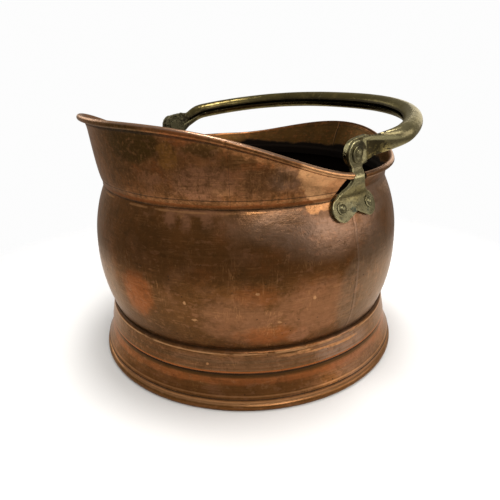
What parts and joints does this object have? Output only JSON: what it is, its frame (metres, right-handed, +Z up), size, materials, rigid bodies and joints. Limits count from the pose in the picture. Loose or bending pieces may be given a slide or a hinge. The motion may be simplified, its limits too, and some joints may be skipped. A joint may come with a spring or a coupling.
{
  "type": "coal scuttle",
  "caption": "Round copper coal scuttle on a spreading foot, with a spout, a raised back and a brass swing handle on riveted brackets.",
  "frame": {"origin": "centre of the foot on the floor, with the handle folded back", "axes": "+Z up, spout towards -X, pivot line of the handle along Y"},
  "size_m": [0.3, 0.3022, 0.2339],
  "materials": {
    "copper_sheet": "aged copper with a brown patina, half polished",
    "copper_wire": "aged copper, worn bright",
    "iron_wire": "dull iron wire",
    "brass_cast": "aged brass",
    "brass_tube": "aged brass, worn bright on top"
  },
  "bodies": {
    "scuttle": {"body": "copper_sheet", "body_floor": "copper_sheet", "foot_ring": "copper_sheet", "foot_rim_wire": "iron_wire", "spout_panel": "copper_sheet", "left_spout_wing": "copper_sheet", "right_spout_wing": "copper_sheet", "spout_rim_wire": "copper_wire", "left_back_panel": "copper_sheet", "right_back_panel": "copper_sheet", "back_rim_wire": "copper_wire", "left_bracket": "brass_cast", "right_bracket": "brass_cast", "left_bracket_rivets": "brass_cast", "right_bracket_rivets": "brass_cast", "left_pivot_pin": "brass_cast", "right_pivot_pin": "brass_cast", "left_pin_washer": "brass_cast", "right_pin_washer": "brass_cast"},
    "bail": {"handle": "brass_tube"}
  },
  "joints": [
    {"name": "handle_swing", "type": "hinge", "parent": "scuttle", "child": "bail", "pos_m": [0, 0, 0.2015], "axis": [0, -1, 0], "range_deg": [0, 153.5]}
  ]
}
